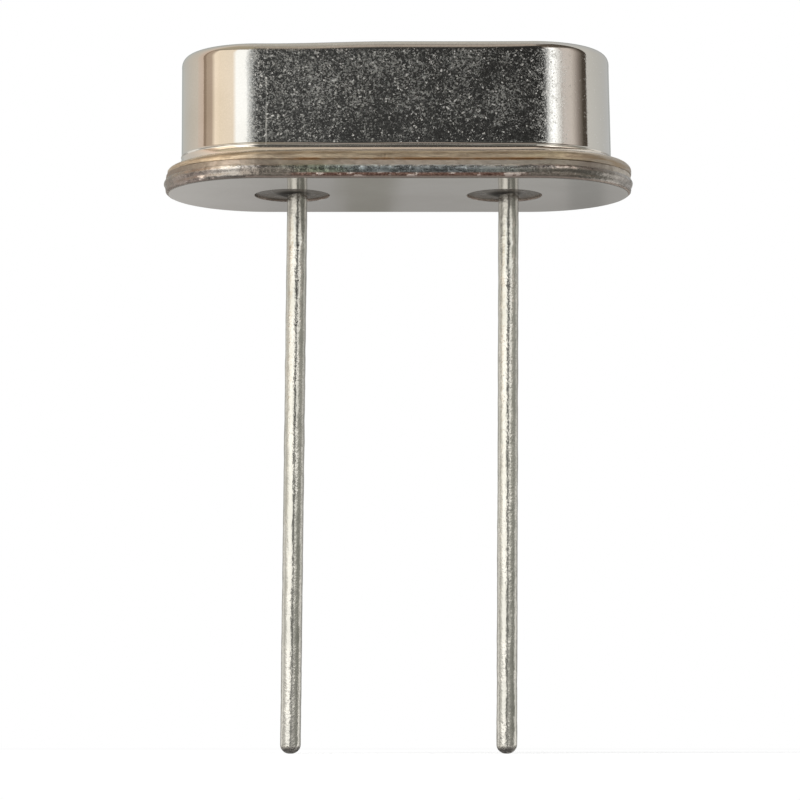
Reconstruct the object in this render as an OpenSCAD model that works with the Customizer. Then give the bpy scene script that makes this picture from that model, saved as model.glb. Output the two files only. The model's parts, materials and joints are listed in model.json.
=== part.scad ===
// Crystal oscillator in a low-profile metal can with two leads, soldered upright on a
// circuit board. The cover is welded rim to rim on the header, whose two glass seals
// carry the leads through it. Inside, a strip of quartz stands on edge between two
// slotted clips, and a film on each face is joined to one lead. All lengths in mm.
// Frame: the origin is the middle of the header's underside, half-way between the
// leads. X runs along the row of leads, Z points up through the cover, and the leads
// hang down from the seating plane at z = 0.

/* [Cover] */
// Length of the can over its walls
can_l = 9.86; // [8.2:0.02:11.9]
// Depth of the can over its walls
can_w = 3.75; // [3.1:0.05:4.6]
// Height of the finished part above the seating plane
can_h = 3.25; // [2.7:0.05:4.5]
// Thickness of the cover's sheet
wall_t = 0.24; // [0.2:0.01:0.29]
// Inner radius of the cover's top edge
top_inner_r = 0.06; // [0.02:0.01:0.2]
// Outer radius of the fold from the wall into the flange
fold_r = 0.2; // [0.1:0.01:0.25]

/* [Rim] */
// How far the welded rim stands out from the can's walls
rim_out = 0.43; // [0.36:0.01:0.6]
// Radius of the cover flange's outer edge
flange_edge_r = 0.12; // [0.05:0.01:0.14]
// Thickness of the header's rim below the weld
header_t = 0.43; // [0.35:0.01:0.52]
// Radius of the header's lower outer edge
header_edge_r = 0.1; // [0.05:0.01:0.2]
// Height of the header's raised middle above its rim
boss_h = 0.5; // [0.4:0.01:0.6]
// Play between the raised middle and the cover's inner wall
boss_clear = 0.05; // [0.02:0.01:0.1]

/* [Leads] */
// Distance between the two leads
lead_pitch = 4.88; // [4.05:0.01:5.85]
// Diameter of a lead with its coat of tin
lead_d = 0.45; // [0.36:0.01:0.54]
// Thickness of that coat, which ends at the glass
tin_t = 0.01; // [0.005:0.005:0.02]
// Length of a lead below the seating plane
lead_l = 12.75; // [2:0.05:16]
// Radius of the rounding at a lead's tip
tip_r = 0.16; // [0.05:0.01:0.17]
// Diameter of the glass seal around a lead
seal_d = 1.74; // [1.4:0.01:2.1]
// How far the glass lies below the metal at both ends
seal_dip = 0.03; // [0:0.01:0.1]
// Diameter of the flattened head on a lead's inner end
head_d = 0.7; // [0.58:0.01:0.85]
// Thickness of that head
head_t = 0.12; // [0.08:0.01:0.16]
// Bare length of lead between the header and that head
neck_l = 0.08; // [0.05:0.01:0.15]

/* [Clips] */
// Thickness of a clip's strip
clip_t = 0.08; // [0.06:0.01:0.12]
// Width of a clip's strip
clip_w = 0.9; // [0.75:0.01:1.1]
// How far the foot runs past the lead's middle towards the other lead
clip_tail = 0.35; // [0.3:0.01:0.5]
// Height of the slot's floor above the clip's foot
slot_lift = 0.1; // [0.06:0.01:0.15]
// Play between the slot and each face of the quartz
slot_clear = 0.03; // [0.02:0.01:0.05]
// How far the prongs beside the slot stop below the quartz's upper edge
prong_short = 0.2; // [0.1:0.01:0.3]

/* [Quartz] */
// Length of the quartz strip
blank_l = 7.4; // [6.15:0.05:8]
// Thickness of the quartz strip
blank_t = 0.16; // [0.1:0.01:0.2]
// Free height between the quartz's upper edge and the cover
head_room = 0.3; // [0.15:0.01:0.5]
// How far the strip's ends pass through the clips
blank_past = 0.15; // [0.1:0.01:0.3]
// Length of the film on each face
film_l = 4.2; // [3:0.05:5]
// Bare height between the film and each long edge of the quartz
film_edge = 0.2; // [0.15:0.01:0.25]
// Thickness of the film
film_t = 0.02; // [0.01:0.005:0.02]
// Height of the tab that joins the film to its clip
tab_h = 0.3; // [0.25:0.01:0.35]
// Bare height between the tab and the quartz's lower edge
tab_edge = 0.05; // [0.03:0.01:0.08]
// Radius of the drop of adhesive at each clip
drop_r = 0.34; // [0.28:0.01:0.4]

/* [Hidden] */
$fn = 96;

// Overlap and overshoot of joined and cut shapes
eps = 0.01;
left = -1;
right = 1;
front = -1;
back = 1;

// Half the length of the can's straight sides: its ends are half-circles about here
end_x = (can_l - can_w) / 2;
can_r = can_w / 2;
cavity_r = can_r - wall_t;
rim_r = can_r + rim_out;
boss_r = cavity_r - boss_clear;

flange_top = header_t + wall_t;
boss_top = header_t + boss_h;
// The sheet keeps its thickness round each bend
top_r = top_inner_r + wall_t;
fold_inner_r = fold_r + wall_t;

lead_x = lead_pitch / 2;
wire_r = lead_d / 2 - tin_t;
head_z = boss_top + neck_l;
foot_z = head_z + head_t;
foot_top = foot_z + clip_t;
blank_z = foot_top + slot_lift;
blank_top = can_h - wall_t - head_room;
// The inner face of a clip's upright strip
upright_x = blank_l / 2 - blank_past - clip_t;
prong_top = blank_top - prong_short;

// Half of a section, drawn for x >= 0, carried round the can's plan: the section's
// x is measured outwards from the middle line, and its y is the height
module carried_round() {
    for (end = [left, right])
        translate([end * end_x, 0, 0])
            rotate([0, 0, -end * 90])
                rotate_extrude(angle = 180)
                    children();
    rotate([90, 0, 90])
        linear_extrude(2 * end_x, center = true)
            for (side = [0, 1])
                mirror([side, 0])
                    children();
}

// Rectangle from the middle line out to r, with its upper outer corner rounded
module round_topped(r, z0, z1, edge_r) {
    translate([0, z0])
        square([r - edge_r, z1 - z0]);
    translate([0, z0])
        square([r, z1 - z0 - edge_r]);
    translate([r - edge_r, z1 - edge_r])
        intersection() {
            circle(edge_r);
            square(edge_r);
        }
}

// The hollow of a corner whose two sides run up and right from [0, 0]
module fillet(r) {
    difference() {
        translate([-eps, -eps])
            square(r + eps);
        translate([r, r])
            circle(r);
    }
}

module cover_section() {
    round_topped(can_r, header_t, can_h, top_r);
    round_topped(rim_r, header_t, flange_top, flange_edge_r);
    translate([can_r, flange_top])
        fillet(fold_r);
}

module cavity_section() {
    round_topped(cavity_r, header_t - eps, can_h - wall_t, top_inner_r);
    translate([cavity_r, header_t])
        fillet(fold_inner_r);
}

module cover() {
    color("silver")
        difference() {
            carried_round() cover_section();
            carried_round() cavity_section();
        }
}

module header() {
    color("gray")
        difference() {
            union() {
                translate([0, 0, header_t])
                    mirror([0, 0, 1])
                        carried_round()
                            round_topped(rim_r, 0, header_t, header_edge_r);
                carried_round()
                    translate([0, header_t - eps])
                        square([boss_r, boss_h + eps]);
            }
            for (side = [left, right])
                translate([side * lead_x, 0, -eps])
                    cylinder(d = seal_d, h = boss_top + 2 * eps);
        }
}

module seal(side) {
    translate([side * lead_x, 0, seal_dip])
        difference() {
            cylinder(d = seal_d, h = boss_top - 2 * seal_dip);
            translate([0, 0, -eps])
                cylinder(r = wire_r, h = boss_top - 2 * seal_dip + 2 * eps);
        }
}

module seal_left() {
    color("dimgray") seal(left);
}

module seal_right() {
    color("dimgray") seal(right);
}

// Tinned below the glass, with a rounded tip
module lead_shaft() {
    rotate_extrude()
        mirror([0, 1])
            intersection() {
                round_topped(lead_d / 2, -seal_dip, lead_l, tip_r);
                translate([0, -seal_dip])
                    square([lead_d, lead_l + seal_dip]);
            }
}

// Bare through the glass, with a flattened head for the clip
module lead_inner_end() {
    cylinder(r = wire_r, h = head_z + eps);
    translate([0, 0, head_z])
        cylinder(d = head_d, h = head_t);
}

module lead(side) {
    translate([side * lead_x, 0, 0]) {
        lead_shaft();
        lead_inner_end();
    }
}

module lead_left() {
    color("lightgray") lead(left);
}

module lead_right() {
    color("lightgray") lead(right);
}

// Foot on the lead's head and upright strip, with a slot that is open at the top
module clip() {
    slot_w = blank_t + 2 * slot_clear;
    difference() {
        union() {
            translate([lead_x - clip_tail, -clip_w / 2, foot_z])
                cube([upright_x + clip_t - lead_x + clip_tail, clip_w, clip_t]);
            translate([upright_x, -clip_w / 2, foot_z])
                cube([clip_t, clip_w, prong_top - foot_z]);
        }
        translate([upright_x - eps, -slot_w / 2, blank_z])
            cube([clip_t + 2 * eps, slot_w, prong_top - blank_z + eps]);
    }
}

module clip_left() {
    color("goldenrod") mirror([1, 0, 0]) clip();
}

module clip_right() {
    color("goldenrod") clip();
}

module quartz_blank() {
    color("aliceblue")
        translate([-blank_l / 2, -blank_t / 2, blank_z])
            cube([blank_l, blank_t, blank_top - blank_z]);
}

// Film on a face of the quartz, with a tab to the clip on the right
module electrode(face) {
    tab_x = film_l / 2 - tab_h;
    translate([0, face * (blank_t + film_t) / 2 - film_t / 2, blank_z]) {
        translate([-film_l / 2, 0, film_edge])
            cube([film_l, film_t, blank_top - blank_z - 2 * film_edge]);
        translate([tab_x, 0, tab_edge])
            cube([upright_x - tab_x, film_t, tab_h]);
    }
}

module electrode_front() {
    color("gainsboro") mirror([1, 0, 0]) electrode(front);
}

module electrode_back() {
    color("gainsboro") electrode(back);
}

// Drop in the corner of the right clip's foot and upright, round the quartz's lower
// edge and the end of the film's tab
module adhesive(face) {
    drop_z = blank_z + tab_edge;
    difference() {
        intersection() {
            translate([upright_x, 0, drop_z])
                sphere(drop_r);
            translate([upright_x - drop_r, -drop_r, foot_top])
                cube([drop_r, 2 * drop_r, drop_z + drop_r - foot_top]);
        }
        quartz_blank();
        electrode(face);
    }
}

module adhesive_left() {
    color("darkkhaki") mirror([1, 0, 0]) adhesive(front);
}

module adhesive_right() {
    color("darkkhaki") adhesive(back);
}

cover();
header();
seal_left();
seal_right();
lead_left();
lead_right();
clip_left();
clip_right();
quartz_blank();
electrode_front();
electrode_back();
adhesive_left();
adhesive_right();
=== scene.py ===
"""Looks of the crystal oscillator: a can welded to its header, glass seals and tinned leads.

Lengths are in millimetres up to the meshes, which are in metres. Every place is worked
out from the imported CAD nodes, in their frame: X along the row of leads, Z up through the
can, and the origin on the header's underside.
"""
import json
import math

import bmesh
import bpy
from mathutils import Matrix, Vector, noise


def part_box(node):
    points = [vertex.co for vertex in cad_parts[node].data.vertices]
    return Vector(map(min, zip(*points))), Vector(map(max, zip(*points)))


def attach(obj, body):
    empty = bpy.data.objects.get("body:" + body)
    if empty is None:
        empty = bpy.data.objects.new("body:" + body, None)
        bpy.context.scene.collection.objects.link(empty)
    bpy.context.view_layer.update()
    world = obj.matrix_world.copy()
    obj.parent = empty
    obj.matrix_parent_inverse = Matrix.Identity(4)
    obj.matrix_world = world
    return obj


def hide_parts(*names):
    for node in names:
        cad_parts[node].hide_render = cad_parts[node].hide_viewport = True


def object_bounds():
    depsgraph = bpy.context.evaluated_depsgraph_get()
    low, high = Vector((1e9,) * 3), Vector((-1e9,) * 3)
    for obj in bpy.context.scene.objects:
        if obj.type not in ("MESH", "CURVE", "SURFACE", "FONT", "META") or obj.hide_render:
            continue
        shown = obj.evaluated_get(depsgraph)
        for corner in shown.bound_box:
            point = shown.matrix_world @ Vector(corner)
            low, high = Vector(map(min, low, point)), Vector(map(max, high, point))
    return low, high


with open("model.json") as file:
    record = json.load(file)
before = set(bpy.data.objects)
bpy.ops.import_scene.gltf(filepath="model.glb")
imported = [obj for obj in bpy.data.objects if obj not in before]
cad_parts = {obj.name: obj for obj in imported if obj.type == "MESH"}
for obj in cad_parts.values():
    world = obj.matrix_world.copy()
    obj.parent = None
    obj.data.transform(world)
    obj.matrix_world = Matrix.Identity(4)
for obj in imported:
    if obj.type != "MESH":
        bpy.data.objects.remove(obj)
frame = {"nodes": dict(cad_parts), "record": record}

cad_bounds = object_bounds()
MM = 0.001


# ---------------------------------------------------------------- sizes from the frame

def box_mm(node):
    """Lowest and highest corners of a CAD node, in millimetres."""
    return tuple(Vector(corner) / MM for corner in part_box(node))


COVER_LOW, COVER_HIGH = box_mm("cover")
SEAL_LOW, SEAL_HIGH = box_mm("seal_right")
TIP_Z = box_mm("lead_right")[0].z

# The ends of the can and its rim are half-circles about END_X on each side
RIM_R = COVER_HIGH.y
END_X = COVER_HIGH.x - RIM_R
CAN_TOP = COVER_HIGH.z
SEAM_Z = COVER_LOW.z
BOSS_TOP = box_mm("header")[1].z
SEAL_R = (SEAL_HIGH.y - SEAL_LOW.y) / 2
LEAD_X = (SEAL_HIGH.x + SEAL_LOW.x) / 2
LEAD_R = frame["record"]["mounts"][0]["dims"]["stud_r_mm"]

# The can. It is drawn with a little draft, and sits slightly to the left on its header
RIM_OUT = 0.43
CAN_R = RIM_R - RIM_OUT
CAN_DRAFT = 0.008
CAN_SHIFT = -0.049
CAN_LEAN = -0.02
SHEET_T = 0.24
TOP_EDGE_R = 0.3
TOP_DIP = 0.055
# How far the top edge is filled out towards a square corner round the can's ends
TOP_SQUARE = 0.093
FOLD_R = 0.18
CREASE_Z = 0.845
CREASE_OUT = 0.014
CREASE_WIDTH = 0.018

# The weld: the cover's flange and the header's upper edge stand back from its lower bead,
# whose side is upright up to BEAD_LOW and rounded from there to BEAD_TOP
FLANGE_T = 0.22
FLANGE_BACK = 0.05
FLANGE_TOP = SEAM_Z + FLANGE_T
FLANGE_R = RIM_R - FLANGE_BACK
FLANGE_EDGE_R = 0.14
SEAM_EDGE_R = 0.02
BEAD_LOW = 0.2
BEAD_TOP = 0.31
BEAD_OUT = 0.045
HEADER_EDGE_R = 0.11
BOSS_CLEAR = 0.05
BOSS_R = CAN_R - SHEET_T - BOSS_CLEAR
HOLE_CHAMFER = 0.004

# Sideways place of a lead's middle line, from its true one, at the glass and at the tip,
# and how much nearer each lead is to the other at the glass
LEAD_AT_GLASS = 0.107
LEAD_AT_TIP = 0.006
LEAD_CLOSER = 0.012


# ------------------------------------------------------------------------------ meshes

# Edges that turn by more degrees than this aren't smoothed
SHARP_ANGLE = 32
# Vertices closer than this are one, in millimetres
MERGED = 1e-5


def arc(centre, radius, start, end, steps):
    """Points of an arc in a section. Angle 0 points outwards and 90 points up."""
    angles = [math.radians(start + (end - start) * k / steps) for k in range(steps + 1)]
    return [(centre[0] + radius * math.cos(a), centre[1] + radius * math.sin(a))
            for a in angles]


def line(start, end, steps):
    """Points of a straight stretch in a section, without its two ends."""
    return [(start[0] + (end[0] - start[0]) * k / steps,
             start[1] + (end[1] - start[1]) * k / steps) for k in range(1, steps)]


def plan_stations(arc_steps, side_steps):
    """Middle-line points and outward directions round the can, anticlockwise from above."""
    stations = []
    for end in (1, -1):
        for k in range(arc_steps):
            angle = math.pi * (k / arc_steps - 0.5)
            stations.append((end * END_X, end * math.cos(angle), end * math.sin(angle)))
        for k in range(side_steps):
            stations.append((end * END_X * (1 - 2 * k / side_steps), 0.0, float(end)))
    return stations


def smooth(t):
    """0 up to t = 0, 1 from t = 1, and a smooth change between."""
    t = min(max(t, 0.0), 1.0)
    return t * t * (3 - 2 * t)


def near_end(x):
    """0 along the middle of the can, and 1 round its ends."""
    return smooth((abs(x) - 0.55 * END_X) / END_X)


def ridge(z, middle, width):
    """1 at a height, falling away above and below it."""
    return math.exp(-((z - middle) / width) ** 2)


def direction(azimuth, elevation):
    """Away from the part: azimuth 0 is towards the camera, and 90 is right."""
    turn, tilt = math.radians(azimuth), math.radians(elevation)
    return Vector((math.sin(turn) * math.cos(tilt), -math.cos(turn) * math.cos(tilt),
                   math.sin(tilt)))


def ripple(point, size, seed):
    """Smooth noise from about -1 to 1, with waves of about that size in millimetres."""
    return noise.noise(Vector(point) / size + Vector((seed, 7.3 * seed, 1.7 * seed)))


def join_loops(bm, loops):
    """Faces between each closed loop of vertices and the next one."""
    for lower, upper in zip(loops, loops[1:]):
        for k in range(len(lower)):
            n = (k + 1) % len(lower)
            bm.faces.new((lower[k], lower[n], upper[n], upper[k]))


def finished(bm, name, material):
    """The object of a bmesh in millimetres, smooth but for its sharp edges."""
    bmesh.ops.remove_doubles(bm, verts=bm.verts, dist=MERGED)
    bmesh.ops.recalc_face_normals(bm, faces=bm.faces)
    bmesh.ops.scale(bm, vec=(MM, MM, MM), verts=bm.verts)
    mesh = bpy.data.meshes.new(name)
    bm.to_mesh(mesh)
    bm.free()
    mesh.shade_smooth()
    mesh.set_sharp_from_angle(angle=math.radians(SHARP_ANGLE))
    mesh.materials.append(material)
    obj = bpy.data.objects.new(name, mesh)
    bpy.context.scene.collection.objects.link(obj)
    return obj


def carry_round(bm, section, stations, shape):
    """Carries a section of (outward, up) points round the can. Returns its loops."""
    loops = []
    for outward, up in section:
        loop = []
        for middle_x, dx, dy in stations:
            point = Vector((middle_x + outward * dx, outward * dy, up))
            loop.append(bm.verts.new(point + shape(point, outward, Vector((dx, dy, 0)))))
        loops.append(loop)
    join_loops(bm, loops)
    return loops


def revolve(bm, centre_x, profile, steps, shape=None):
    """Turns a profile of (radius, height) points about an upright axis. Returns its loops."""
    loops = []
    for radius, up in profile:
        loop = []
        for k in range(steps):
            angle = 2 * math.pi * k / steps
            out = Vector((math.cos(angle), math.sin(angle), 0))
            point = Vector((centre_x, 0, up)) + radius * out
            loop.append(bm.verts.new(point + shape(point, radius, out) if shape else point))
        loops.append(loop)
    join_loops(bm, loops)
    return loops


def loop_edges(bm, loop):
    """The edges of a closed loop of vertices, made where they aren't there yet."""
    pairs = zip(loop, loop[1:] + loop[:1])
    return [bm.edges.get(pair) or bm.edges.new(pair) for pair in pairs]


# ------------------------------------------------------------------------------- cover

def cover_section():
    """From the middle of the top, down the outside, round the flange and back inside."""
    top_r, foot_r = CAN_R - CAN_DRAFT, CAN_R + CAN_DRAFT
    inner_r = CAN_R - SHEET_T
    inner_fold_r = FOLD_R + SHEET_T
    inner_edge_r = TOP_EDGE_R - SHEET_T
    ceiling = CAN_TOP - SHEET_T
    wall_top = (top_r, CAN_TOP - TOP_EDGE_R)
    wall_low = (foot_r, CREASE_Z + 0.08)
    wall_foot = (foot_r, FLANGE_TOP + FOLD_R)
    return ([(0.0, CAN_TOP)] + line((0.0, CAN_TOP), (top_r - TOP_EDGE_R, CAN_TOP), 8)
            + arc((top_r - TOP_EDGE_R, CAN_TOP - TOP_EDGE_R), TOP_EDGE_R, 90, 0, 18)
            + line(wall_top, wall_low, 20) + [wall_low] + line(wall_low, wall_foot, 20)
            + arc((foot_r + FOLD_R, FLANGE_TOP + FOLD_R), FOLD_R, 180, 270, 14)
            + arc((FLANGE_R - FLANGE_EDGE_R, FLANGE_TOP - FLANGE_EDGE_R),
                  FLANGE_EDGE_R, 90, 0, 12)
            + line((FLANGE_R, FLANGE_TOP - FLANGE_EDGE_R),
                   (FLANGE_R, SEAM_Z + SEAM_EDGE_R), 4)
            + arc((FLANGE_R - SEAM_EDGE_R, SEAM_Z + SEAM_EDGE_R), SEAM_EDGE_R, 0, -90, 5)
            + arc((inner_r + inner_fold_r, SEAM_Z + inner_fold_r),
                  inner_fold_r, 270, 180, 6)
            + arc((inner_r - inner_edge_r, ceiling - inner_edge_r), inner_edge_r, 0, 90, 3)
            + [(0.0, ceiling)])


def cover_shape(point, outward, out):
    """The can's small shift, faint waves and crease, and its flange's uneven edge."""
    up = Vector((0, 0, 1))
    on_flange = smooth((outward - CAN_R) / FOLD_R)
    at_end = near_end(point.x)
    lean = CAN_LEAN * smooth((point.z - FLANGE_TOP) / (CAN_TOP - FLANGE_TOP))
    shift = Vector(((CAN_SHIFT + lean) * (1 - on_flange), 0, 0))
    dip = TOP_DIP * smooth(-point.x / END_X) * smooth((point.z - 1.5) / 1.2)
    shift -= up * dip
    if outward < BOSS_R:
        return shift
    # How far round the top edge: the parts of its direction that are up and outward
    rounding = min(max((point.z - CAN_TOP) / TOP_EDGE_R + 1, 0.0), 1.0)
    across = math.sqrt(1 - rounding ** 2)
    square = TOP_SQUARE * at_end * (rounding * across) ** 1.5
    shift += square * (out * across + up * rounding)
    waves = 0.003 * ripple(point, 2.6, 1)
    edge = 0.008 * ripple(point, 0.9, 2) + 0.005 * ripple(point, 0.25, 3)
    crease_z = CREASE_Z + 0.03 * ripple((point.x, point.y, 0), 2.4, 10)
    crease = CREASE_OUT * ridge(point.z, crease_z, CREASE_WIDTH)
    # The flange sags at its left end, and lifts and spreads at its right one
    sag, spread = (0.06, 0.0) if point.x < 0 else (-0.02, 0.04)
    sag *= at_end * on_flange * smooth((point.z - SEAM_Z) / SHEET_T)
    edge += spread * at_end
    return shift + out * (waves + crease + (edge - waves - crease) * on_flange) - up * sag


def build_cover(material):
    """The hollow can with its flange."""
    bm = bmesh.new()
    stations = plan_stations(arc_steps=170, side_steps=170)
    carry_round(bm, cover_section(), stations, cover_shape)
    return finished(bm, "cover_skin", material)


# ------------------------------------------------------------------------------ header

def header_section():
    """From the underside near the rim, round its lower bead and up the raised middle."""
    flat_r = RIM_R - HEADER_EDGE_R
    upper_r = RIM_R - BEAD_OUT
    shoulder = [(RIM_R - BEAD_OUT * (1 - math.cos(math.radians(a))),
                 BEAD_LOW + (BEAD_TOP - BEAD_LOW) * math.sin(math.radians(a)))
                for a in range(0, 91, 9)]
    return ([(flat_r - 0.12, 0.0), (flat_r - 0.04, 0.0)]
            + arc((flat_r, HEADER_EDGE_R), HEADER_EDGE_R, -90, 0, 14)
            + line((RIM_R, HEADER_EDGE_R), (RIM_R, BEAD_LOW), 6)
            + shoulder
            + line((upper_r, BEAD_TOP), (upper_r - 0.01, SEAM_Z - SEAM_EDGE_R), 5)
            + arc((upper_r - 0.01 - SEAM_EDGE_R, SEAM_Z - SEAM_EDGE_R),
                  SEAM_EDGE_R, 0, 90, 5)
            + [(BOSS_R, SEAM_Z), (BOSS_R, BOSS_TOP)])


def header_shape(point, outward, out):
    """The rim's uneven side, and the ragged burr along its lower edge."""
    if outward < BOSS_R + 0.1:
        return Vector((0, 0, 0))
    side = smooth((outward - RIM_R + 1.2 * HEADER_EDGE_R) / HEADER_EDGE_R)
    swell = 0.85 * BEAD_OUT * near_end(point.x) * smooth((point.z - 0.12) / 0.12)
    dents = (0.008 * ripple(point, 0.8, 4) + 0.006 * ripple(point, 0.2, 5)
             + 0.003 * ripple(point, 0.09, 11) - 0.008)
    burr = 0.018 * ridge(point.z, 0.06, 0.03) * abs(ripple(point, 0.13, 6))
    return out * (side * min(dents + burr, 0.0) + swell)


def build_header(material):
    """The plate with its rim, and a hole for each seal through the raised middle."""
    bm = bmesh.new()
    stations = plan_stations(arc_steps=200, side_steps=200)
    loops = carry_round(bm, header_section(), stations, header_shape)
    under, top = loop_edges(bm, loops[0]), loop_edges(bm, loops[-1])
    for side in (-1, 1):
        hole = revolve(bm, side * LEAD_X,
                       [(SEAL_R + 0.06, 0.0), (SEAL_R + HOLE_CHAMFER, 0.0),
                        (SEAL_R, HOLE_CHAMFER), (SEAL_R, BOSS_TOP)], steps=128)
        under += loop_edges(bm, hole[0])
        top += loop_edges(bm, hole[-1])
    bmesh.ops.triangle_fill(bm, edges=under, use_beauty=True, normal=(0, 0, -1))
    bmesh.ops.triangle_fill(bm, edges=top, use_beauty=True, normal=(0, 0, 1))
    return finished(bm, "header_plate", material)


# ------------------------------------------------------------------------------- seals

def build_seal(side, name, material):
    """A ring of fired glass that dips from the metal and climbs a little up the lead."""
    # The ring reaches into the lead, so that no gap shows between them
    inner_r = 0.6 * LEAD_R
    low = SEAL_LOW.z + 0.015
    steps = 40
    face = []
    for k in range(steps + 1):
        radius = SEAL_R + (inner_r - SEAL_R) * (k / steps)
        wetting = math.exp(-(radius - LEAD_R) / 0.07) if radius > LEAD_R else 1.0
        rings = 0.0012 * math.sin(2 * math.pi * (SEAL_R - radius) / 0.19)
        face.append((radius, low - 0.05 * wetting + rings * (1 - wetting)))
    bm = bmesh.new()
    profile = [(SEAL_R, SEAL_HIGH.z)] + face + [(inner_r, SEAL_HIGH.z), (SEAL_R, SEAL_HIGH.z)]
    revolve(bm, side * LEAD_X, profile, steps=96)
    return finished(bm, name, material)


# ------------------------------------------------------------------------------- leads

def build_lead(side, name, material):
    """A wire with a wavy coat of tin and a rounded tip, slightly off its true line."""
    tip_r = 0.92 * LEAD_R
    head_z = box_mm(name)[1].z
    top_z = SEAL_LOW.z + 0.3
    steps = 420
    shaft = [(LEAD_R, top_z + (TIP_Z + tip_r - top_z) * k / steps) for k in range(steps)]
    tip = [(LEAD_R - tip_r + tip_r * math.cos(math.radians(a)),
            TIP_Z + tip_r - tip_r * math.sin(math.radians(a))) for a in range(0, 91, 6)]

    def shape(point, radius, out):
        """The lead's lean, and the uneven thickness of its coat."""
        fall = max(0.0, point.z / TIP_Z)
        glass_x = LEAD_AT_GLASS - LEAD_CLOSER * side
        bend = glass_x + (LEAD_AT_TIP - glass_x) * fall
        spot = (point.x, point.y, 0.55 * point.z)
        coat = (0.008 + 0.006 * ripple(spot, 0.30, 7) + 0.004 * ripple(spot, 0.13, 8)
                + 0.002 * ripple(spot, 0.065, 9))
        return out * coat * radius / LEAD_R + Vector((bend, 0, 0))

    bm = bmesh.new()
    neck = [(0.9 * LEAD_R, head_z), (0.9 * LEAD_R, top_z + 0.02)]
    loops = revolve(bm, side * LEAD_X, neck + shaft + tip, steps=72, shape=shape)
    bm.faces.new(loops[0])
    bm.faces.new(loops[-1])
    return finished(bm, name + "_tinned", material)


# --------------------------------------------------------------------------- materials

class Nodes:
    """The nodes of a material or of the world."""

    def __init__(self, owner):
        owner.use_nodes = True
        self.nodes, self.links = owner.node_tree.nodes, owner.node_tree.links

    def add(self, kind, inputs=None, **settings):
        """A new node. Each of its inputs is linked to a socket or set to a value."""
        node = self.nodes.new(kind)
        for setting, value in settings.items():
            setattr(node, setting, value)
        for socket, value in (inputs or {}).items():
            if isinstance(value, bpy.types.NodeSocket):
                self.links.new(value, node.inputs[socket])
            else:
                node.inputs[socket].default_value = value
        return node

    def math(self, operation, first, *others):
        """The first value, combined with each of the others in turn."""
        for other in others:
            first = self.add("ShaderNodeMath", {0: first, 1: other},
                             operation=operation).outputs[0]
        return first

    def seen(self):
        """1 for the camera's rays and for what metal reflects or glass lets through."""
        path = self.add("ShaderNodeLightPath").outputs
        return self.math("MAXIMUM", path["Is Camera Ray"], path["Is Glossy Ray"],
                         path["Is Transmission Ray"])


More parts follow.
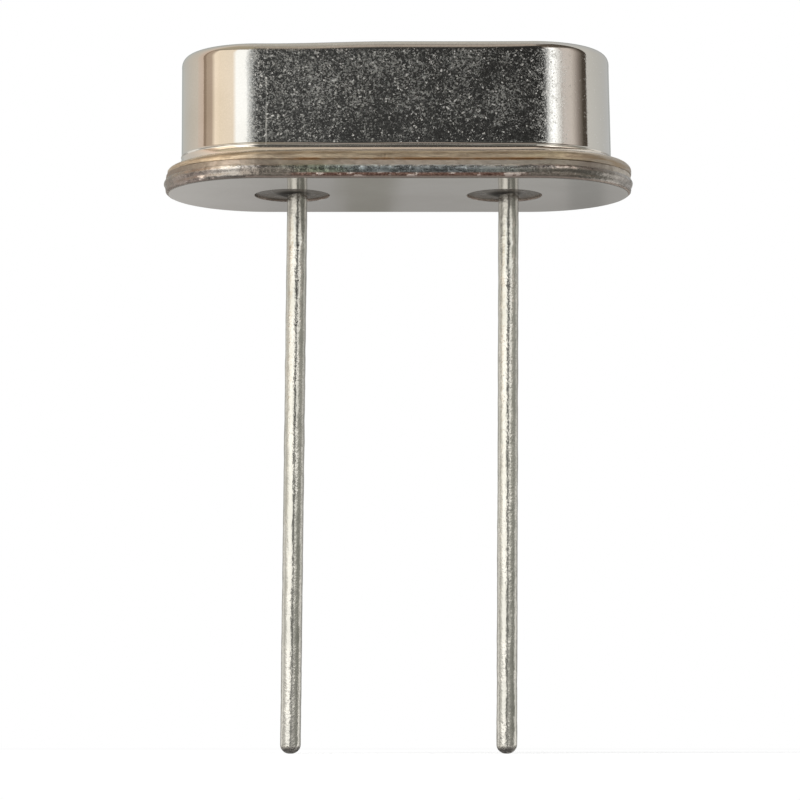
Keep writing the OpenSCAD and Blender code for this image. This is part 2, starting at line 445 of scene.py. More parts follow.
class Shader(Nodes):
    """A material whose textures are laid out by place on the part, in millimetres."""

    def __init__(self, name, **constants):
        self.material = bpy.data.materials.new(name)
        super().__init__(self.material)
        self.surface = self.nodes["Principled BSDF"]
        for socket, value in constants.items():
            self.surface.inputs[socket.replace("_", " ")].default_value = value
        place = self.add("ShaderNodeTexCoord")
        self.place = self.add("ShaderNodeVectorMath", {0: place.outputs["Object"], 3: 1 / MM},
                              operation="SCALE").outputs[0]
        split = self.add("ShaderNodeSeparateXYZ", {0: self.place})
        self.x, self.y, self.z = split.outputs

    def plus(self, *values):
        return self.math("ADD", *values)

    def minus(self, value, other):
        return self.math("SUBTRACT", value, other)

    def times(self, *values):
        return self.math("MULTIPLY", *values)

    def most(self, *values):
        return self.math("MAXIMUM", *values)

    def least(self, *values):
        return self.math("MINIMUM", *values)

    def size(self, value):
        """The value without its sign."""
        return self.math("ABSOLUTE", value, 0.0)

    def swing(self, value, amount):
        """A value of 0 to 1, made to swing by that amount in all, evenly about 0."""
        return self.times(self.minus(value, 0.5), amount)

    def length(self, x, y):
        """The length of an arrow that goes x one way and y across it."""
        arrow = self.add("ShaderNodeCombineXYZ", {0: x, 1: y}).outputs[0]
        return self.add("ShaderNodeVectorMath", {0: arrow}, operation="LENGTH").outputs[1]

    def stretched(self, scale):
        """The place, with each axis scaled: a small number draws the texture out."""
        return self.add("ShaderNodeVectorMath", {0: self.place, 1: scale},
                        operation="MULTIPLY").outputs[0]

    def noise(self, scale, detail=2.0, rough=0.5, stretch=None):
        """Noise from 0 to 1 with about scale waves a millimetre."""
        place = self.stretched(stretch) if stretch else self.place
        return self.add("ShaderNodeTexNoise", {"Vector": place, "Scale": scale,
                                               "Detail": detail, "Roughness": rough}).outputs[0]

    def cells(self, scale, stretch=None):
        """Distance from the middles of scattered cells, and a random value for each."""
        place = self.stretched(stretch) if stretch else self.place
        node = self.add("ShaderNodeTexVoronoi", {"Vector": place, "Scale": scale})
        value = self.add("ShaderNodeSeparateXYZ", {0: node.outputs["Color"]}).outputs[0]
        return node.outputs["Distance"], value

    def scattered(self, cells, out, full, few, many):
        """Marks on some of the cells: 0 at a distance of out from their middles, 1 at full,
        and faint where the cell's value is nearer few than many."""
        distance, value = cells
        return self.times(self.band(distance, out, full), self.band(value, few, many))

    def band(self, value, low, high, from_value=0.0, to_value=1.0):
        """from_value up to low, to_value from high, and a smooth change between."""
        node = self.add("ShaderNodeMapRange",
                        {"Value": value, "From Min": low, "From Max": high,
                         "To Min": from_value, "To Max": to_value},
                        interpolation_type="SMOOTHSTEP")
        return node.outputs[0]

    def mix(self, factor, a, b):
        """Colour a, turning into b where the factor is 1."""
        return self.add("ShaderNodeMix", {0: factor, 6: a, 7: b},
                        data_type="RGBA").outputs[2]

    def blend(self, factor, a, b):
        """Number a, turning into b where the factor is 1."""
        return self.add("ShaderNodeMix", {0: factor, 2: a, 3: b}).outputs[0]

    def ramp(self, value, stops):
        """The colour for a value, from stops of (value, colour) in rising order."""
        low, high = stops[0][0], stops[-1][0]
        place = self.add("ShaderNodeMapRange",
                         {"Value": value, "From Min": low, "From Max": high}).outputs[0]
        node = self.add("ShaderNodeValToRGB", {0: place})
        elements = node.color_ramp.elements
        elements[0].color, elements[1].color = stops[0][1], stops[-1][1]
        for at, colour in stops[1:-1]:
            elements.new((at - low) / (high - low)).color = colour
        return node.outputs[0]

    def bump(self, height, depth, normal=None):
        """A normal from a height of 0 to 1 that stands for depth in millimetres."""
        inputs = {"Height": height, "Strength": 1.0, "Distance": depth * MM}
        if normal:
            inputs["Normal"] = normal
        return self.add("ShaderNodeBump", inputs).outputs[0]

    def finish(self, **sockets):
        """Links the surface's sockets, and returns the material."""
        for socket, value in sockets.items():
            self.links.new(value, self.surface.inputs[socket.replace("_", " ")])
        return self.material


def rgb(red, green, blue):
    """An opaque colour."""
    return (red, green, blue, 1.0)


WHITE = rgb(1, 1, 1)
WELD_BROWN = rgb(0.42, 0.25, 0.13)


def weld_spots(s, by_seam):
    """Where the weld's seam shows through in spots, along the middle of the rim."""
    return s.times(by_seam, s.band(s.noise(1.2, 3.0), 0.35, 0.6),
                   s.band(s.size(s.x), 4.0, 3.0))


def cover_material():
    """Bright nickel over drawn sheet: frosted sides, polished left end, stained flange, and
    painted highlights along the fold and the flange's edge.
    """
    s = Shader("plated_cover", Metallic=1.0)
    cloud = s.noise(0.45, 3.0)
    colour = s.mix(s.band(cloud, 0.35, 0.65), rgb(0.64, 0.615, 0.575), rgb(0.69, 0.67, 0.64))

    # Frost on the can's sides, fainter round its ends and top edge, and none on its top
    edge = s.plus(s.x, s.times(s.noise(1.6, 4.0), 0.5))
    past_end = s.most(s.minus(s.size(s.x), END_X), 0.0)
    outward = s.length(past_end, s.y)
    flat_r = CAN_R - TOP_EDGE_R
    on_edge = s.times(s.band(outward, flat_r - 0.06, flat_r + 0.02),
                      s.band(s.z, CAN_TOP - 0.28, CAN_TOP - 0.18))
    flat_top = s.times(s.band(outward, flat_r + 0.02, flat_r - 0.1),
                       s.band(s.z, CAN_TOP - 0.3, CAN_TOP - 0.2))
    frosted = s.times(s.band(edge, -END_X - 0.15, -END_X + 0.1, 0.08, 1.0),
                      s.band(edge, END_X + 0.65, END_X + 1.4, 1.0, 0.3),
                      s.band(s.z, CREASE_Z + 0.01, CREASE_Z + 0.06),
                      s.band(on_edge, 0.0, 1.0, 1.0, 0.3),
                      s.band(flat_top, 0.0, 0.6, 1.0, 0.0))

    # Its grains are a few hundredths across, rougher in clumps, to the left and higher up
    fine, coarse = s.noise(25.0, 2.0, 0.7), s.noise(5.0, 4.0, 0.65)
    clumps = s.plus(s.swing(coarse, 0.65), s.swing(s.noise(13.0, 2.0), 0.35),
                    s.swing(s.noise(1.5, 2.0), 0.45))
    clumps = s.plus(s.minus(clumps, s.times(s.x, 0.018)), s.times(s.minus(s.z, 0.4), 0.034),
                    s.band(s.z, CREASE_Z, CREASE_Z + 1.0, -0.12, 0.0))
    grain = s.plus(s.times(s.cells(40.0)[1], 0.7), s.times(s.cells(21.0)[1], 0.25),
                   clumps, s.swing(fine, 0.4))
    grain = s.least(s.most(grain, 0.0), 1.0)
    specks = s.times(s.band(s.plus(s.cells(30.0)[1], s.times(clumps, 0.12)), 0.93, 0.965),
                     s.band(s.cells(15.0)[1], 0.1, 0.9))
    grain = s.blend(specks, s.math("POWER", grain, 1.75), 1.35)
    roughness = s.blend(s.times(grain, frosted), 0.03, 0.46)
    satin = s.times(flat_top, s.blend(s.band(coarse, 0.3, 0.7), 0.28, 0.38))
    roughness = s.most(roughness, satin)

    # It is greyer than the bare nickel, dark in mottles and bright in its specks
    mottled = s.blend(0.4, s.noise(19.0, 4.0, 0.75), s.cells(43.0)[1])
    dulled = s.times(s.band(mottled, 0.74, 0.26, 0.0, 0.52),
                     s.band(s.x, END_X + 0.45, END_X + 0.2))
    colour = s.mix(s.times(frosted, 0.5), colour, rgb(0.64, 0.66, 0.67))
    colour = s.mix(s.times(dulled, frosted), colour, rgb(0.07, 0.07, 0.07))
    colour = s.mix(s.times(specks, frosted), colour, rgb(0.90, 0.89, 0.88))

    # Scattered dots, nicks and hair scratches, and one long upright scratch in the front
    dots = s.scattered(s.cells(9.0), 0.22, 0.12, 0.72, 0.85)
    nicks = s.scattered(s.cells(3.2, stretch=(1.6, 1.6, 0.7)), 0.10, 0.04, 0.8, 0.85)
    hairs = s.scattered(s.cells(7.0, stretch=(1.9, 1.9, 0.55)), 0.15, 0.07, 0.82, 0.9)
    off_line = s.size(s.plus(s.x, 1.215 * LEAD_X))
    scratch = s.times(s.band(off_line, 0.018, 0.008),
                      s.band(s.z, SEAM_Z + 2.0, SEAM_Z + 1.7),
                      s.band(s.y, 0.0, -0.1),
                      s.band(s.noise(3.0, 3.0), 0.35, 0.6, 0.3, 1.0))
    marks = s.most(s.times(s.most(nicks, hairs, dots), frosted), scratch)
    roughness = s.blend(marks, roughness, 0.66)

    # The fold below the crease is painted bright as a highlight, less so round the ends
    fold = s.band(s.z, CREASE_Z, CREASE_Z - 0.06)
    rounded = s.band(s.size(s.x), END_X + 0.9, END_X + 1.7)
    fold_highlight_colour = s.mix(rounded, rgb(0.93, 0.86, 0.78), rgb(0.74, 0.69, 0.65))
    colour = s.mix(fold, colour, fold_highlight_colour)
    roughness = s.blend(fold, roughness, s.blend(s.band(fine, 0.4, 0.65), 0.08, 0.2))

    # The flange is tinted brown by the weld, most along the seam, and its edge is painted
    # bright as a highlight
    flange = s.band(s.z, FLANGE_TOP + 0.015, FLANGE_TOP - 0.015)
    streaks = s.noise(11.0, 4.0, 0.65, stretch=(0.12, 0.12, 1))
    heat = s.ramp(s.x, ((-5.4, rgb(0.62, 0.53, 0.43)), (-4.0, rgb(0.80, 0.66, 0.49)),
                        (-3.0, rgb(0.76, 0.64, 0.50)), (-1.5, rgb(0.70, 0.59, 0.44)),
                        (2.4, rgb(0.72, 0.61, 0.47)), (3.6, rgb(0.82, 0.70, 0.48)),
                        (4.3, rgb(0.50, 0.43, 0.35)), (5.4, rgb(0.56, 0.53, 0.50))))
    browned_with_highlight = s.mix(s.band(streaks, 0.35, 0.65), rgb(0.42, 0.33, 0.24), heat)
    # A painted highlight along the flange's top edge, fainter round the right end
    flange_edge_highlight = s.times(s.band(s.z, FLANGE_TOP - 0.06, FLANGE_TOP - 0.02),
                     s.band(s.x, 3.9, 4.8, 1.0, 0.3))
    browned_with_highlight = s.mix(flange_edge_highlight, browned_with_highlight, rgb(0.95, 0.86, 0.74))
    colour = s.mix(flange, colour, browned_with_highlight)
    seam = weld_spots(s, s.band(s.z, SEAM_Z + 0.05, SEAM_Z + 0.015))
    colour = s.mix(seam, colour, WELD_BROWN)
    rough_flange = s.blend(s.band(fine, 0.35, 0.7), 0.32, 0.55)
    roughness = s.blend(flange, roughness, rough_flange)

    normal = s.bump(s.times(fine, frosted), 0.0016)
    normal = s.bump(s.times(flange, streaks), 0.010, normal)
    normal = s.bump(s.times(flange, fine), 0.008, normal)
    return s.finish(Base_Color=colour, Roughness=roughness, Normal=normal)


def header_material():
    """Satin nickel underneath, and a rim stained by the weld over a scraped burr, with painted
    shade low on its bead and a painted highlight above.
    """
    s = Shader("plated_header", Metallic=1.0)
    cloud = s.noise(0.5, 3.0)
    under = s.mix(s.band(cloud, 0.3, 0.7), rgb(0.60, 0.585, 0.56), rgb(0.66, 0.65, 0.63))

    # The weld's tint changes along the rim: the lower half of its bead is painted dark as shade
    # and the upper half light as a highlight, brightest near both ends and in the middle, and
    # the edge over that is tinted by the weld
    fine, mid = s.noise(20.0, 3.0, 0.7), s.noise(5.0, 4.0, 0.6)
    along = s.plus(s.x, s.swing(mid, 1.2))
    low = s.ramp(along, ((-5.4, rgb(0.33, 0.28, 0.25)), (-4.5, rgb(0.35, 0.29, 0.27)),
                         (-3.8, rgb(0.45, 0.42, 0.39)), (-3.2, rgb(0.31, 0.27, 0.24)),
                         (-2.4, rgb(0.28, 0.25, 0.22)), (-1.7, rgb(0.33, 0.38, 0.28)),
                         (-0.9, rgb(0.27, 0.30, 0.31)), (1.4, rgb(0.27, 0.295, 0.31)),
                         (2.2, rgb(0.26, 0.28, 0.27)), (3.5, rgb(0.22, 0.195, 0.17)),
                         (4.35, rgb(0.31, 0.29, 0.27)), (5.2, rgb(0.50, 0.47, 0.45))))
    high = s.ramp(along, ((-5.4, rgb(0.40, 0.35, 0.30)), (-4.4, rgb(0.44, 0.37, 0.32)),
                          (-3.95, rgb(1.0, 0.95, 0.90)), (-3.6, rgb(1.0, 0.96, 0.92)),
                          (-3.1, rgb(0.50, 0.44, 0.41)), (-1.7, rgb(0.55, 0.61, 0.50)),
                          (-0.9, rgb(0.90, 0.97, 1.0)), (1.4, rgb(0.92, 0.97, 1.0)),
                          (2.6, rgb(1.0, 1.0, 0.97)), (3.4, rgb(0.62, 0.55, 0.52)),
                          (3.75, rgb(0.95, 0.82, 0.75)), (3.95, rgb(0.26, 0.23, 0.21)),
                          (4.7, rgb(0.28, 0.25, 0.23)), (5.2, rgb(0.50, 0.47, 0.45))))
    upper = s.ramp(along, ((-5.4, rgb(0.36, 0.305, 0.273)), (-4.5, rgb(0.382, 0.338, 0.294)),
                           (-3.8, rgb(0.676, 0.578, 0.501)), (-3.1, rgb(0.392, 0.338, 0.289)),
                           (-1.7, rgb(0.42, 0.36, 0.283)), (-0.9, rgb(0.545, 0.469, 0.414)),
                           (1.4, rgb(0.567, 0.501, 0.436)), (2.2, rgb(0.523, 0.48, 0.436)),
                           (3.5, rgb(0.436, 0.398, 0.343)), (4.35, rgb(0.354, 0.314, 0.283)),
                           (5.2, rgb(0.66, 0.61, 0.555))))
    # Painted shade below a height of about 0.17, and a painted highlight above 0.27
    stain_and_painted_light = s.mix(s.band(s.z, 0.17, 0.27), low, high)
    brushed = s.noise(12.0, 4.0, 0.65, stretch=(0.3, 0.3, 1))
    stain_and_painted_light = s.mix(s.band(brushed, 0.35, 0.6), s.mix(0.4, stain_and_painted_light, rgb(0.1, 0.09, 0.08)), stain_and_painted_light)
    upper = s.mix(s.band(mid, 0.35, 0.65), s.mix(0.2, upper, rgb(0.2, 0.15, 0.1)), upper)
    weld = s.band(s.z, BEAD_TOP - 0.03, BEAD_TOP + 0.01)
    seam = weld_spots(s, s.band(s.z, SEAM_Z - 0.04, SEAM_Z - 0.01))
    side_colour = s.mix(seam, s.mix(weld, stain_and_painted_light, upper), WELD_BROWN)

    # The burr is red-brown and scraped in the middle, and thins out towards the ends
    thinned = s.most(s.band(along, -2.9, -3.4, 0.0, 0.10), s.band(along, 3.8, 4.2, 0.0, 0.08))
    burr = s.band(s.plus(s.z, thinned), 0.135, 0.10)
    in_middle = s.times(s.band(along, -2.3, -1.6), s.band(along, 3.2, 2.6))
    at_left = s.times(s.band(along, -4.6, -4.4), s.band(along, -4.0, -4.2))
    scrapes = s.times(s.band(s.noise(4.6, 4.0, 0.6, stretch=(0.7, 0.7, 1.6)), 0.52, 0.58),
                      s.band(s.z, 0.02, 0.04), s.most(in_middle, at_left))
    reddened = s.times(s.band(along, -2.7, -2.0), s.band(along, 3.2, 2.4))
    grain = s.band(fine, 0.4, 0.65)
    burr_colour = s.mix(reddened, s.mix(grain, rgb(0.17, 0.15, 0.13), rgb(0.33, 0.29, 0.26)),
                        s.mix(grain, rgb(0.13, 0.07, 0.055), rgb(0.38, 0.25, 0.21)))
    burr_colour = s.mix(s.band(s.z, 0.06, 0.02), burr_colour, rgb(0.60, 0.51, 0.46))
    scraped = rgb(0.95, 0.82, 0.76)
    burr_colour = s.mix(scrapes, burr_colour, scraped)
    side_colour = s.mix(burr, side_colour, burr_colour)
    left_dashes = s.times(at_left, scrapes, s.band(s.z, 0.14, 0.10))
    side_colour = s.mix(left_dashes, side_colour, scraped)
    side = s.band(s.z, 0.003, 0.012)
    colour = s.mix(side, under, side_colour)

    roughness = s.blend(s.band(brushed, 0.4, 0.7), 0.22, 0.38)
    roughness = s.blend(weld, roughness, s.blend(fine, 0.40, 0.60))
    roughness = s.blend(burr, roughness, s.blend(scrapes, 0.5, 0.3))
    roughness = s.blend(side, 0.12, roughness)
    normal = s.bump(s.times(side, s.noise(7.0, 4.0, 0.6)), 0.022)
    return s.finish(Base_Color=colour, Roughness=roughness, Normal=normal)


def glass_material():
    """Dark fired glass with a wavy skin, darkest round the lead."""
    s = Shader("seal_glass", IOR=1.5)
    mottle = s.noise(5.0, 4.0, 0.65)
    colour = s.mix(s.band(mottle, 0.3, 0.7), rgb(0.062, 0.050, 0.038), rgb(0.120, 0.102, 0.082))
    near = s.band(s.length(s.minus(s.size(s.x), LEAD_X), s.y), 0.46, 0.26)
    colour = s.mix(near, colour, rgb(0.025, 0.021, 0.017))
    roughness = s.blend(near, s.blend(s.band(mottle, 0.35, 0.65), 0.24, 0.38), 0.55)
    normal = s.bump(s.noise(7.0, 3.0, 0.6), 0.004)
    return s.finish(Base_Color=colour, Roughness=roughness, Normal=normal)


def tin_material():
    """Hot-dipped tin: shiny and crinkled, duller in streaks, with a dark cut end."""
    s = Shader("dipped_tin", Metallic=1.0)
    patches = s.noise(3.0, 4.0, 0.6, stretch=(1, 1, 0.4))
    colour = s.mix(s.band(patches, 0.35, 0.65), rgb(0.58, 0.575, 0.54), rgb(0.70, 0.685, 0.65))
    fine = s.noise(18.0, 3.0, 0.65, stretch=(1, 1, 0.7))
    dull = s.times(s.band(fine, 0.54, 0.68), s.band(patches, 0.45, 0.60))
    colour = s.mix(dull, colour, rgb(0.50, 0.49, 0.46))
    # Painted shade darkens the coat next to the glass, and its crinkle is weaker there
    colour = s.mix(s.band(s.z, -1.0, -0.3), colour, rgb(0.515, 0.50, 0.47))
    crinkled = s.times(s.band(patches, 0.38, 0.55, 0.4, 1), s.band(s.z, -1.1, -0.3, 1.0, 0.35))
    burr = s.noise(8.0, 4.0, 0.65)
    cut = s.times(s.band(s.z, TIP_Z + 0.20, TIP_Z + 0.10), s.band(burr, 0.38, 0.52))
    colour = s.mix(cut, colour, rgb(0.26, 0.25, 0.24))
    roughness = s.blend(dull, s.blend(patches, 0.17, 0.25), 0.34)
    roughness = s.blend(cut, roughness, 0.5)
    normal = s.bump(s.times(s.noise(20.0, 1.0), crinkled), 0.0065)
    normal = s.bump(s.noise(13.0, 2.0, stretch=(1, 1, 0.6)), 0.004, normal)
    normal = s.bump(s.times(cut, burr), 0.05, normal)
    return s.finish(Base_Color=colour, Roughness=roughness, Normal=normal)


def strip_material():
    """Rolled spring strip, with fine lines along it."""
    s = Shader("clip_strip", Metallic=1.0)
    lines = s.noise(20.0, 2.0, stretch=(0.1, 1, 1))
    colour = s.mix(lines, rgb(0.62, 0.55, 0.42), rgb(0.74, 0.68, 0.56))
    return s.finish(Base_Color=colour, Roughness=s.blend(lines, 0.25, 0.4),
                    Normal=s.bump(lines, 0.001))


def quartz_material():
    """Lapped quartz, clear under a fine frost."""
    s = Shader("lapped_quartz", Transmission_Weight=0.9, IOR=1.54)
    frost = s.noise(30.0, 3.0)
    colour = s.mix(frost, rgb(0.86, 0.90, 0.91), rgb(0.94, 0.96, 0.97))
    return s.finish(Base_Color=colour, Roughness=s.blend(frost, 0.15, 0.35))


def film_material():
    """Evaporated silver, which takes the lapped surface below it."""
    s = Shader("silver_film", Metallic=1.0)
    haze = s.noise(8.0, 3.0)
    colour = s.mix(haze, rgb(0.84, 0.84, 0.82), rgb(0.91, 0.91, 0.90))
    return s.finish(Base_Color=colour, Roughness=s.blend(haze, 0.2, 0.32))


def adhesive_material():
    """Silver-filled adhesive, dull and grainy."""
    s = Shader("silver_adhesive", Metallic=0.35)
    flakes = s.noise(24.0, 3.0, 0.7)
    colour = s.mix(flakes, rgb(0.50, 0.48, 0.44), rgb(0.72, 0.70, 0.66))
    return s.finish(Base_Color=colour, Roughness=s.blend(flakes, 0.5, 0.7),
                    Normal=s.bump(flakes, 0.006))


# ------------------------------------------------------------------------------ pieces

def place_pieces():
    """Makes the pieces that show, and gives the CAD nodes inside the can their looks."""
    tin, glass = tin_material(), glass_material()
    shown = [(build_cover(cover_material()), "cover", "cover_plating"),
             (build_header(header_material()), "header", "header_plating")]
    for side, end in ((-1, "left"), (1, "right")):
        shown.append((build_seal(side, "glass_" + end, glass), "seal_" + end, "seal_glass"))
        shown.append((build_lead(side, "lead_" + end, tin), "lead_" + end, "lead_tin"))
    for piece, node, slot in shown:
        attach(piece, "root")
        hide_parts(node)
    inside = {strip_material(): ("clip_left", "clip_right"),
              quartz_material(): ("quartz_blank",),
              film_material(): ("electrode_front", "electrode_back"),
              adhesive_material(): ("adhesive_left", "adhesive_right")}
    for material, nodes in inside.items():
        for node in nodes:
            for material_slot in frame["nodes"][node].material_slots:
                material_slot.material = material


# ------------------------------------------------------------------------------- stage

# The cards are patches of a ball of this radius about a point on the can's middle line,
# cut into columns and rows of about so many degrees
CARD_DISTANCE = 50
CARD_CENTRE_Z = 2.0
CARD_COLUMN = 3
CARD_ROW = 6

# Cards round the part, which only its reflections show: from and to azimuth, from and to
# elevation, in degrees, and the colour and brightness of the left and right edges, or one
# for both
UNDER, BELOW, HALFWAY, LOW, LEVEL, HIGH = -45, -20, -12.5, -7, 7, 84
CARDS = (
    # In front, as dark as a camera, and browner overhead
    (-13, -6, LEVEL, 52, (0.082, 0.082, 0.079), (0.079, 0.079, 0.076)),
    (-6, 7, LEVEL, 52, (0.079, 0.079, 0.076), (0.036, 0.035, 0.033)),
    (7, 24, LEVEL, 52, (0.036, 0.035, 0.033), (0.046, 0.045, 0.042)),
    (-13, 24, 52, 58, (0.22, 0.19, 0.16), (0.18, 0.155, 0.13)),
    (-13, 24, 58, 79, (0.60, 0.52, 0.45), (0.56, 0.48, 0.41)),
    (-13, 24, 79, HIGH, (0.34, 0.29, 0.24), (0.30, 0.25, 0.21)),
    # A white window on the left, and beyond it a cream wall with a brown edge
    (-24, -13, LEVEL, 44, (1.30, 1.32, 1.30), (0.085, 0.085, 0.08)),
    (-38, -24, LEVEL, 39, (1.50, 1.52, 1.50)),
    (-43, -38, LEVEL, 39, (1.19, 1.04, 0.85), (1.50, 1.52, 1.50)),
    (-63, -43, LEVEL, 39, (1.19, 1.02, 0.80), (1.19, 1.04, 0.85)),
    (-69, -63, LEVEL, 39, (1.28, 1.10, 0.88), (1.22, 1.04, 0.82)),
    (-75, -69, LEVEL, 39, (0.62, 0.49, 0.38), (1.28, 1.10, 0.88)),
    (-84, -75, LEVEL, 39, (0.57, 0.45, 0.34), (0.62, 0.49, 0.38)),
    (-89, -84, LEVEL, 39, (0.40, 0.30, 0.22), (0.41, 0.31, 0.23)),
    (-24, -13, 44, 46, (0.40, 0.34, 0.26)),
    (-89, -24, 39, 46, (0.40, 0.34, 0.26)),
    (-89, -13, 46, 70, (0.55, 0.49, 0.37), (0.50, 0.44, 0.33)),
    (-89, -13, 70, HIGH, (0.62, 0.58, 0.50), (0.55, 0.50, 0.42)),
    # A white window on the right, and beyond it a wall that falls into shade
    (24, 32, LEVEL, 36, (0.05, 0.048, 0.045), (1.60, 1.59, 1.55)),
    (32, 40, LEVEL, 36, (1.75, 1.74, 1.70), (1.70, 1.68, 1.62)),
    (40, 46.5, LEVEL, 36, (1.20, 1.17, 1.12), (1.0, 0.96, 0.90)),
    (46.5, 48.5, LEVEL, 36, (0.50, 0.46, 0.42)),
    (48.5, 62, LEVEL, 36, (0.80, 0.72, 0.66), (0.78, 0.70, 0.63)),
    (62, 73, LEVEL, 36, (0.78, 0.70, 0.63), (0.32, 0.275, 0.24)),
    (73, 80, LEVEL, 36, (0.32, 0.275, 0.24), (0.10, 0.085, 0.065)),
    (80, 87, LEVEL, 36, (0.085, 0.07, 0.055)),
    (24, 87, 36, 42, (0.45, 0.40, 0.36), (0.12, 0.10, 0.08)),
    (24, 87, 42, 70, (0.16, 0.13, 0.10), (0.085, 0.07, 0.055)),
    (24, 87, 70, HIGH, (0.55, 0.51, 0.48), (0.55, 0.53, 0.50)),
    # Pale walls at the ends and behind
    (87, 150, LEVEL, HIGH, (0.74, 0.725, 0.68), (0.58, 0.59, 0.59)),
    (150, 210, LEVEL, 50, (0.46, 0.465, 0.455), (0.50, 0.52, 0.50)),
    (150, 210, 50, HIGH, (0.69, 0.66, 0.59)),
    (210, 260, LEVEL, HIGH, (0.60, 0.61, 0.58), (0.80, 0.72, 0.62)),
    (260, 271, LEVEL, HIGH, (0.82, 0.70, 0.60), (0.82, 0.66, 0.54)),
    (-180, 180, HIGH, 90, (0.60, 0.57, 0.52)),
    # Level with the part, where the leads find most of their light
    (-6, 10, LOW, LEVEL, (0.14, 0.14, 0.13), (0.18, 0.18, 0.17)),
    (10, 16, LOW, LEVEL, (0.3, 0.3, 0.28), (1.3, 1.28, 1.2)),
    (16, 34, LOW, LEVEL, (1.45, 1.43, 1.35)),
    (34, 46, LOW, LEVEL, (1.1, 1.08, 1.0), (0.46, 0.46, 0.41)),
    (46, 98, LOW, LEVEL, (0.42, 0.42, 0.37), (0.36, 0.36, 0.33)),
    (98, 114, LOW, LEVEL, (0.70, 0.69, 0.65), (0.85, 0.84, 0.79)),
    (114, 165, LOW, LEVEL, (0.42, 0.41, 0.39), (0.46, 0.45, 0.43)),
    (165, 195, LOW, LEVEL, (0.46, 0.45, 0.43)),
    (195, 236, LOW, LEVEL, (0.60, 0.59, 0.54), (0.50, 0.49, 0.46)),
    (236, 256, LOW, LEVEL, (0.90, 0.88, 0.82)),
    (256, 272, LOW, LEVEL, (0.70, 0.67, 0.60), (0.74, 0.70, 0.62)),
    (-88, -66, LOW, LEVEL, (0.74, 0.70, 0.62), (1.25, 1.20, 1.08)),
    (-66, -14, LOW, LEVEL, (1.65, 1.62, 1.50)),
    (-14, -6, LOW, LEVEL, (1.3, 1.28, 1.2), (0.2, 0.2, 0.19)),
    # Lower still, for the leads' ends and the underside
    (-4, 12, BELOW, LOW, (0.15, 0.15, 0.14), (0.22, 0.22, 0.20)),
    (12, 32, BELOW, LOW, (0.62, 0.61, 0.57), (0.58, 0.57, 0.53)),
    (32, 60, BELOW, LOW, (0.38, 0.38, 0.34), (0.30, 0.30, 0.27)),
    (60, 84, BELOW, LOW, (0.24, 0.245, 0.21), (0.30, 0.30, 0.27)),
    (84, 94, BELOW, LOW, (0.4, 0.39, 0.37), (0.95, 0.93, 0.88)),
    (94, 118, BELOW, LOW, (0.95, 0.93, 0.88)),
    (118, 128, BELOW, LOW, (0.9, 0.88, 0.83), (0.48, 0.47, 0.45)),
    (128, 169, BELOW, LOW, (0.36, 0.355, 0.34), (0.45, 0.44, 0.42)),
    # Behind, in the header's underside: its back half shows what is above HALFWAY, and its
    # front half what is below
    (169, 170.6, HALFWAY, LOW, (0.41, 0.40, 0.385), (0.38, 0.37, 0.355)),
    (170.6, 172.2, HALFWAY, LOW, (0.28, 0.275, 0.26)),
    (172.2, 180.4, HALFWAY, LOW, (0.365, 0.355, 0.34), (0.375, 0.365, 0.35)),
    (180.4, 182.4, HALFWAY, LOW, (0.265, 0.257, 0.23)),
    (182.4, 186, HALFWAY, LOW, (0.35, 0.34, 0.325), (0.37, 0.36, 0.345)),
    (186, 191, HALFWAY, LOW, (0.40, 0.385, 0.37), (0.54, 0.52, 0.50)),
    (169, 170.6, BELOW, HALFWAY, (0.45, 0.44, 0.42), (0.44, 0.43, 0.41)),
    (170.6, 172.2, BELOW, HALFWAY, (0.36, 0.355, 0.34)),
    (172.2, 180, BELOW, HALFWAY, (0.45, 0.44, 0.42), (0.44, 0.43, 0.41)),
    (180, 183, BELOW, HALFWAY, (0.335, 0.325, 0.295), (0.345, 0.335, 0.305)),
    (183, 191, BELOW, HALFWAY, (0.425, 0.415, 0.40), (0.56, 0.545, 0.52)),
    # Round the left side
    (191, 226, BELOW, LOW, (0.56, 0.54, 0.51), (0.36, 0.35, 0.33)),
    (226, 236, BELOW, LOW, (0.5, 0.49, 0.46), (1.0, 0.98, 0.93)),
    (236, 256, BELOW, LOW, (1.0, 0.98, 0.93)),
    (256, 272, BELOW, LOW, (0.9, 0.88, 0.82), (0.62, 0.60, 0.56)),
    (-88, -56, BELOW, LOW, (0.62, 0.60, 0.56), (1.10, 1.08, 1.02)),
    (-56, -14, BELOW, LOW, (1.65, 1.62, 1.55)),
    (-14, -4, BELOW, LOW, (1.3, 1.28, 1.2), (0.16, 0.16, 0.15)),
    # The floor
    (-14, 60, UNDER, BELOW, (0.34, 0.335, 0.32), (0.30, 0.295, 0.28)),
    (60, 84, UNDER, BELOW, (0.26, 0.255, 0.24), (0.22, 0.215, 0.20)),
    (84, 94, UNDER, BELOW, (0.5, 0.49, 0.46), (1.35, 1.33, 1.26)),
    (94, 116, UNDER, BELOW, (1.3, 1.28, 1.21)),
    (116, 128, UNDER, BELOW, (1.2, 1.18, 1.10), (0.34, 0.335, 0.32)),
    (128, 226, UNDER, BELOW, (0.24, 0.235, 0.22)),
    (226, 236, UNDER, BELOW, (0.5, 0.49, 0.46), (1.2, 1.18, 1.12)),
    (236, 256, UNDER, BELOW, (1.2, 1.18, 1.12)),
    (256, 304, UNDER, BELOW, (0.34, 0.335, 0.32), (0.30, 0.295, 0.28)),
    (304, 346, UNDER, BELOW, (0.80, 0.79, 0.76)),
    (-180, 180, -90, UNDER, (0.26, 0.25, 0.24)),
)


def card_material():
    """Shines in the colours of its mesh's glow layer."""
    material = bpy.data.materials.new("studio_card")
    material.cycles.emission_sampling = "NONE"
    tree = Nodes(material)
    tree.nodes.clear()
    glow = tree.add("ShaderNodeVertexColor", layer_name="glow").outputs["Color"]
    shine = tree.add("ShaderNodeEmission", {"Color": glow}).outputs[0]
    tree.add("ShaderNodeOutputMaterial", {"Surface": shine})
    return material


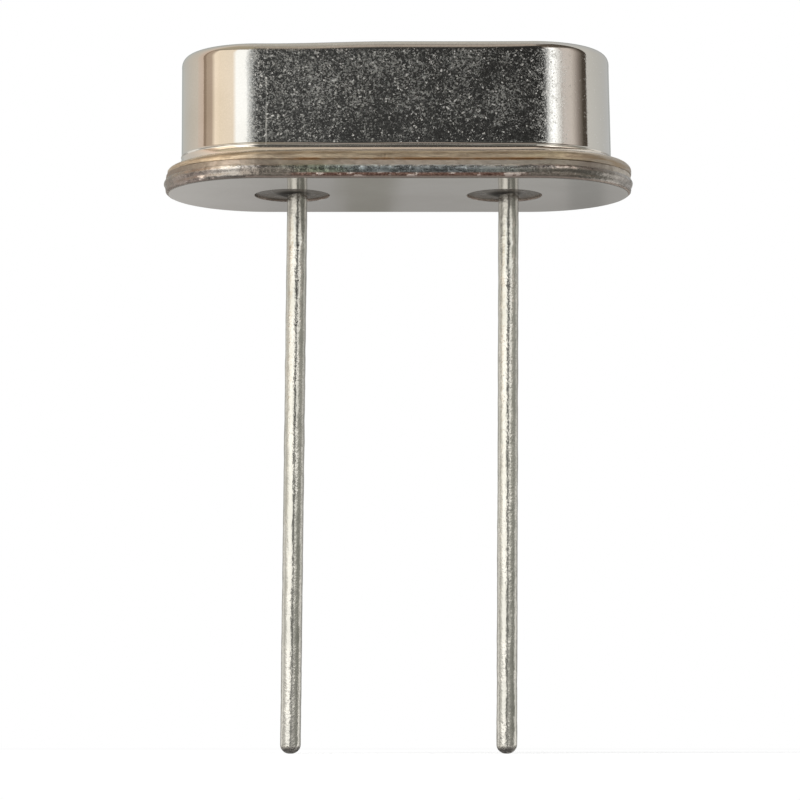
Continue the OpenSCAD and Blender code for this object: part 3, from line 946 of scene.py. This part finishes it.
def studio_card(number, card, material):
    """A patch of a ball round the part, which shines but which only reflections see."""
    left, right, low, high, *colours = card
    left_colour, right_colour = Vector(colours[0]), Vector(colours[-1])
    columns = max(2, round((right - left) / CARD_COLUMN))
    rows = max(2, round((high - low) / CARD_ROW))
    centre = Vector((0, 0, CARD_CENTRE_Z))
    bm = bmesh.new()
    glow = bm.verts.layers.float_color.new("glow")
    grid = []
    for j in range(rows + 1):
        ring = []
        for k in range(columns + 1):
            t = k / columns
            spot = direction(left + (right - left) * t, low + (high - low) * j / rows)
            vert = bm.verts.new(spot * CARD_DISTANCE + centre)
            vert[glow] = (*left_colour.lerp(right_colour, t), 1.0)
            ring.append(vert)
        grid.append(ring)
    for lower, upper in zip(grid, grid[1:]):
        for k in range(columns):
            bm.faces.new((lower[k], lower[k + 1], upper[k + 1], upper[k]))
    obj = finished(bm, "card_%d" % number, material)
    for ray in ("camera", "diffuse", "transmission", "volume_scatter", "shadow"):
        setattr(obj, "visible_" + ray, False)


FLOOR_SIZE = 1600
# The floor is a lit pale grey with a glow that brings it up to white, and from one
# distance to the other it turns plain white
FLOOR_GREY = 0.8
FLOOR_GLOW = 0.325
FLOOR_NEAR = 20
FLOOR_FAR = 60


def floor_material():
    """White to the camera and to reflections, save where the part's shadow falls."""
    material = bpy.data.materials.new("studio_floor")
    tree = Nodes(material)
    tree.nodes.clear()
    place = tree.add("ShaderNodeTexCoord").outputs["Object"]
    distance = tree.add("ShaderNodeVectorMath", {0: place}, operation="LENGTH").outputs[1]
    far = tree.add("ShaderNodeMapRange", {"Value": distance, "From Min": FLOOR_NEAR * MM,
                                          "From Max": FLOOR_FAR * MM},
                   interpolation_type="SMOOTHSTEP").outputs[0]
    grey = rgb(FLOOR_GREY, FLOOR_GREY, FLOOR_GREY)
    lit = tree.add("ShaderNodeBsdfDiffuse", {"Color": grey}).outputs[0]
    fill = tree.add("ShaderNodeEmission", {"Color": WHITE, "Strength": FLOOR_GLOW}).outputs[0]
    near = tree.add("ShaderNodeAddShader", {0: lit, 1: fill}).outputs[0]
    white = tree.add("ShaderNodeEmission", {"Color": WHITE, "Strength": 1.0}).outputs[0]
    shown = tree.add("ShaderNodeMixShader", {0: far, 1: near, 2: white}).outputs[0]
    top = tree.add("ShaderNodeMixShader", {0: tree.seen(), 1: lit, 2: shown}).outputs[0]
    # From below, the floor is clear
    clear = tree.add("ShaderNodeBsdfTransparent").outputs[0]
    below = tree.add("ShaderNodeNewGeometry").outputs["Backfacing"]
    both = tree.add("ShaderNodeMixShader", {0: below, 1: top, 2: clear}).outputs[0]
    tree.add("ShaderNodeOutputMaterial", {"Surface": both})
    return material


def build_floor():
    """A floor at the leads' tips."""
    bm = bmesh.new()
    bmesh.ops.create_grid(bm, x_segments=8, y_segments=8, size=FLOOR_SIZE / 2)
    floor = finished(bm, "studio_floor", floor_material())
    floor.location.z = cad_bounds[0].z
    floor.visible_glossy = False


# How brightly the world lights what is seen to be white
WORLD_LIGHT = 0.5


def build_world():
    """White to the camera and to reflections, and dimmer as a light."""
    world = bpy.data.worlds.new("studio")
    bpy.context.scene.world = world
    tree = Nodes(world)
    strength = tree.add("ShaderNodeMapRange", {"Value": tree.seen(), "To Min": WORLD_LIGHT,
                                               "To Max": 1.0}).outputs[0]
    background = tree.nodes["Background"]
    background.inputs["Color"].default_value = WHITE
    tree.links.new(strength, background.inputs["Strength"])


# Each lamp's azimuth and elevation, and how bright it would make a white card
LAMPS = {"key": (-40, 55, 0.45), "fill": (60, 40, 0.25)}
LAMP_DISTANCE = 120
LAMP_SIZE = 70


def add_lamp(name, azimuth, elevation, brightness):
    """A soft square lamp, which reflections don't show."""
    away = direction(azimuth, elevation)
    data = bpy.data.lights.new(name, "AREA")
    data.size = LAMP_SIZE * MM
    data.energy = brightness * (math.pi * LAMP_DISTANCE * MM) ** 2
    lamp = bpy.data.objects.new(name, data)
    lamp.location = away * LAMP_DISTANCE * MM
    lamp.rotation_euler = away.to_track_quat("Z", "Y").to_euler()
    lamp.visible_glossy = False
    bpy.context.scene.collection.objects.link(lamp)


# The camera aims at the middle of the part's box, save for a little to the side and up
CAMERA_LENS = 137.99
CAMERA_SENSOR = 36
CAMERA_DISTANCE = 70
CAMERA_ELEVATION = -6.33
CAMERA_SIDE = 0.039
CAMERA_RAISE = 0.02
CAMERA_NEAREST = 1
CAMERA_FARTHEST = 5000


def add_camera():
    """The camera that looks along +Y, from a little below."""
    data = bpy.data.cameras.new("camera")
    data.lens = CAMERA_LENS
    data.sensor_width = CAMERA_SENSOR
    data.clip_start, data.clip_end = CAMERA_NEAREST * MM, CAMERA_FARTHEST * MM
    camera = bpy.data.objects.new("camera", data)
    aim = (cad_bounds[0] + cad_bounds[1]) / 2 + MM * Vector((CAMERA_SIDE, 0, CAMERA_RAISE))
    camera.location = aim + CAMERA_DISTANCE * MM * direction(0, CAMERA_ELEVATION)
    camera.rotation_euler = (math.radians(90) - math.radians(CAMERA_ELEVATION), 0, 0)
    bpy.context.scene.collection.objects.link(camera)
    bpy.context.scene.camera = camera


add_camera()
place_pieces()
build_floor()
glowing = card_material()
for number, card in enumerate(CARDS):
    studio_card(number, card, glowing)
build_world()
for name, lamp in LAMPS.items():
    add_lamp(name, *lamp)
bpy.context.scene.view_settings.view_transform = "Standard"
